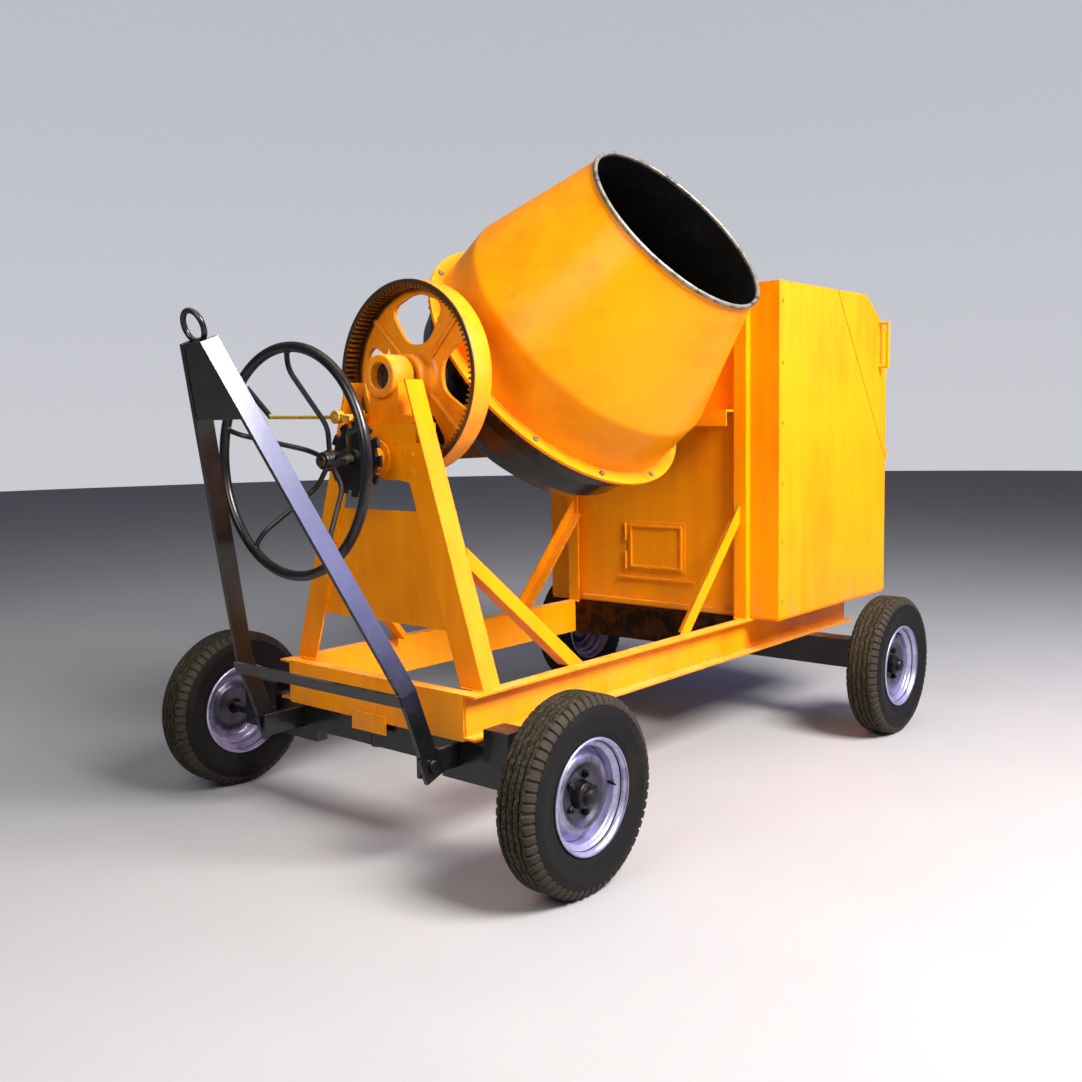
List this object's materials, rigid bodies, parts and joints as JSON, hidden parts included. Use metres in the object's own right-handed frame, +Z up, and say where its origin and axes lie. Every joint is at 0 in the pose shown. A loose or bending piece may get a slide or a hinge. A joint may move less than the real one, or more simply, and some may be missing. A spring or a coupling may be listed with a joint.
{
  "type": "concrete mixer",
  "caption": "Towed tilting-drum concrete mixer with geared handwheel tipping, engine cabinet and a four-wheel channel-section frame.",
  "frame": {"origin": "on the ground, under the middle of the bounding box", "axes": "+X from the towing ring to the engine cabinet, +Z up, the drum leans to -Y"},
  "size_m": [3.5698, 1.912, 2.436],
  "materials": {
    "yellow_paint": "weathered gloss machinery yellow",
    "black_paint": "gloss black machinery enamel",
    "drum_metal": "gloss yellow enamel on rolled plate",
    "pan_metal": "black, mortar-stained plate",
    "cast_yellow": "yellow-painted casting",
    "bare_steel": "oiled machined steel",
    "wheel_silver": "silver-painted pressed steel",
    "tyre_rubber": "dusty black rubber",
    "belt_rubber": "black V-belt rubber",
    "engine_iron": "painted engine casting",
    "lever_brass": "zinc-yellow lever with a black grip"
  },
  "bodies": {
    "chassis": {"side_rail_right": "yellow_paint", "side_rail_left": "yellow_paint", "front_cross_member": "yellow_paint", "rear_cross_members": "yellow_paint", "pedestal_leg_right": "yellow_paint", "pedestal_leg_left": "yellow_paint", "pedestal_top_beam": "yellow_paint", "pedestal_panels": "yellow_paint", "frame_braces": "yellow_paint", "trunnion_bearings": "cast_yellow", "bearing_bolts": "yellow_paint", "handwheel_bearing": "yellow_paint", "rear_stand": "yellow_paint", "rear_axle_beam": "black_paint", "cabinet_front_panel": "yellow_paint", "cabinet_side_right": "yellow_paint", "cabinet_side_left": "yellow_paint", "cabinet_roof": "yellow_paint", "cabinet_rear_panel": "yellow_paint", "cabinet_fittings": "yellow_paint", "engine_bed": "yellow_paint", "engine_block": "engine_iron", "drive_belts": "belt_rubber"},
    "steering": {"front_axle_beam": "black_paint", "kingpin": "bare_steel", "tow_brackets": "black_paint"},
    "tow_bar": {"tow_leg_right": "black_paint", "tow_leg_left": "black_paint", "tow_cross_pieces": "black_paint", "tow_ring": "black_paint"},
    "yoke": {"yoke_frame": "black_paint", "yoke_trunnions": "bare_steel", "tilting_gear": "cast_yellow"},
    "drum": {"drum_spindle": "bare_steel", "drum_pan": "pan_metal", "drum_shell": "drum_metal", "mouth_ring": "bare_steel", "crown_gear": "drum_metal", "flange_bolts": "drum_metal", "mixing_blades": "bare_steel"},
    "drive": {"drive_shaft": "bare_steel", "bevel_pinion": "bare_steel", "drum_pulley": "engine_iron"},
    "engine_crank": {"engine_flywheel": "engine_iron"},
    "handwheel": {"handwheel_rim": "black_paint", "handwheel_spokes": "black_paint", "handwheel_shaft": "bare_steel", "locking_disc": "black_paint"},
    "lock_lever": {"lock_lever": "lever_brass"},
    "inspection_door": {"inspection_door": "yellow_paint"},
    "engine_hood": {"engine_hood": "yellow_paint", "hood_handle": "yellow_paint"},
    "front_right_wheel": {"front_right_tyre": "tyre_rubber", "front_right_wheel": "wheel_silver"},
    "front_left_wheel": {"front_left_tyre": "tyre_rubber", "front_left_wheel": "wheel_silver"},
    "rear_right_wheel": {"rear_right_tyre": "tyre_rubber", "rear_right_wheel": "wheel_silver"},
    "rear_left_wheel": {"rear_left_tyre": "tyre_rubber", "rear_left_wheel": "wheel_silver"}
  },
  "joints": [
    {"name": "steering_turn", "type": "hinge", "parent": "chassis", "child": "steering", "pos_m": [-1.0701, 0, 0.402], "axis": [0, 0, 1], "range_deg": [-11, 11]},
    {"name": "tow_bar_lower", "type": "hinge", "parent": "steering", "child": "tow_bar", "pos_m": [-1.2401, 0, 0.35], "axis": [0, 1, 0], "range_deg": [-75, 0]},
    {"name": "drum_tilt", "type": "hinge", "parent": "chassis", "child": "yoke", "pos_m": [-0.1341, 0, 1.605], "axis": [1, 0, 0], "range_deg": [-51.4, 74.72]},
    {"name": "drum_spin", "type": "hinge", "parent": "yoke", "child": "drum", "pos_m": [-0.1341, 0, 1.605], "axis": [0, -0.7815, 0.6239], "continuous": true},
    {"name": "drive_spin", "type": "hinge", "parent": "yoke", "child": "drive", "pos_m": [0.4659, 0, 1.605], "axis": [1, 0, 0], "continuous": true},
    {"name": "engine_spin", "type": "hinge", "parent": "chassis", "child": "engine_crank", "pos_m": [0.8179, 0, 1], "axis": [1, 0, 0], "continuous": true},
    {"name": "handwheel_spin", "type": "hinge", "parent": "chassis", "child": "handwheel", "pos_m": [-1.0701, 0, 1.32], "axis": [1, 0, 0], "range_deg": [-500, 730]},
    {"name": "lock_lever_swing", "type": "hinge", "parent": "chassis", "child": "lock_lever", "pos_m": [-1.1441, 0.091, 1.466], "axis": [1, 0, 0], "range_deg": [0, 11.5]},
    {"name": "inspection_door_swing", "type": "hinge", "parent": "chassis", "child": "inspection_door", "pos_m": [0.6614, 0.169, 0.85], "axis": [0, 0, 1], "range_deg": [-110, 0]},
    {"name": "engine_hood_lift", "type": "hinge", "parent": "chassis", "child": "engine_hood", "pos_m": [1.2199, 0, 2.02], "axis": [0, 1, 0], "range_deg": [-75, 0]},
    {"name": "front_right_wheel_roll", "type": "hinge", "parent": "steering", "child": "front_right_wheel", "pos_m": [-1.0701, -0.881, 0.31], "axis": [0, 1, 0], "continuous": true},
    {"name": "front_left_wheel_roll", "type": "hinge", "parent": "steering", "child": "front_left_wheel", "pos_m": [-1.0701, 0.881, 0.31], "axis": [0, 1, 0], "continuous": true},
    {"name": "rear_right_wheel_roll", "type": "hinge", "parent": "chassis", "child": "rear_right_wheel", "pos_m": [1.2259, -0.881, 0.31], "axis": [0, 1, 0], "continuous": true},
    {"name": "rear_left_wheel_roll", "type": "hinge", "parent": "chassis", "child": "rear_left_wheel", "pos_m": [1.2259, 0.881, 0.31], "axis": [0, 1, 0], "continuous": true}
  ],
  "couplings": [
    {"joint": "handwheel_spin", "follows": "drum_tilt", "ratio": 9.6364},
    {"joint": "drive_spin", "follows": "drum_spin", "ratio": -7},
    {"joint": "engine_spin", "follows": "drum_spin", "ratio": -37.312}
  ]
}
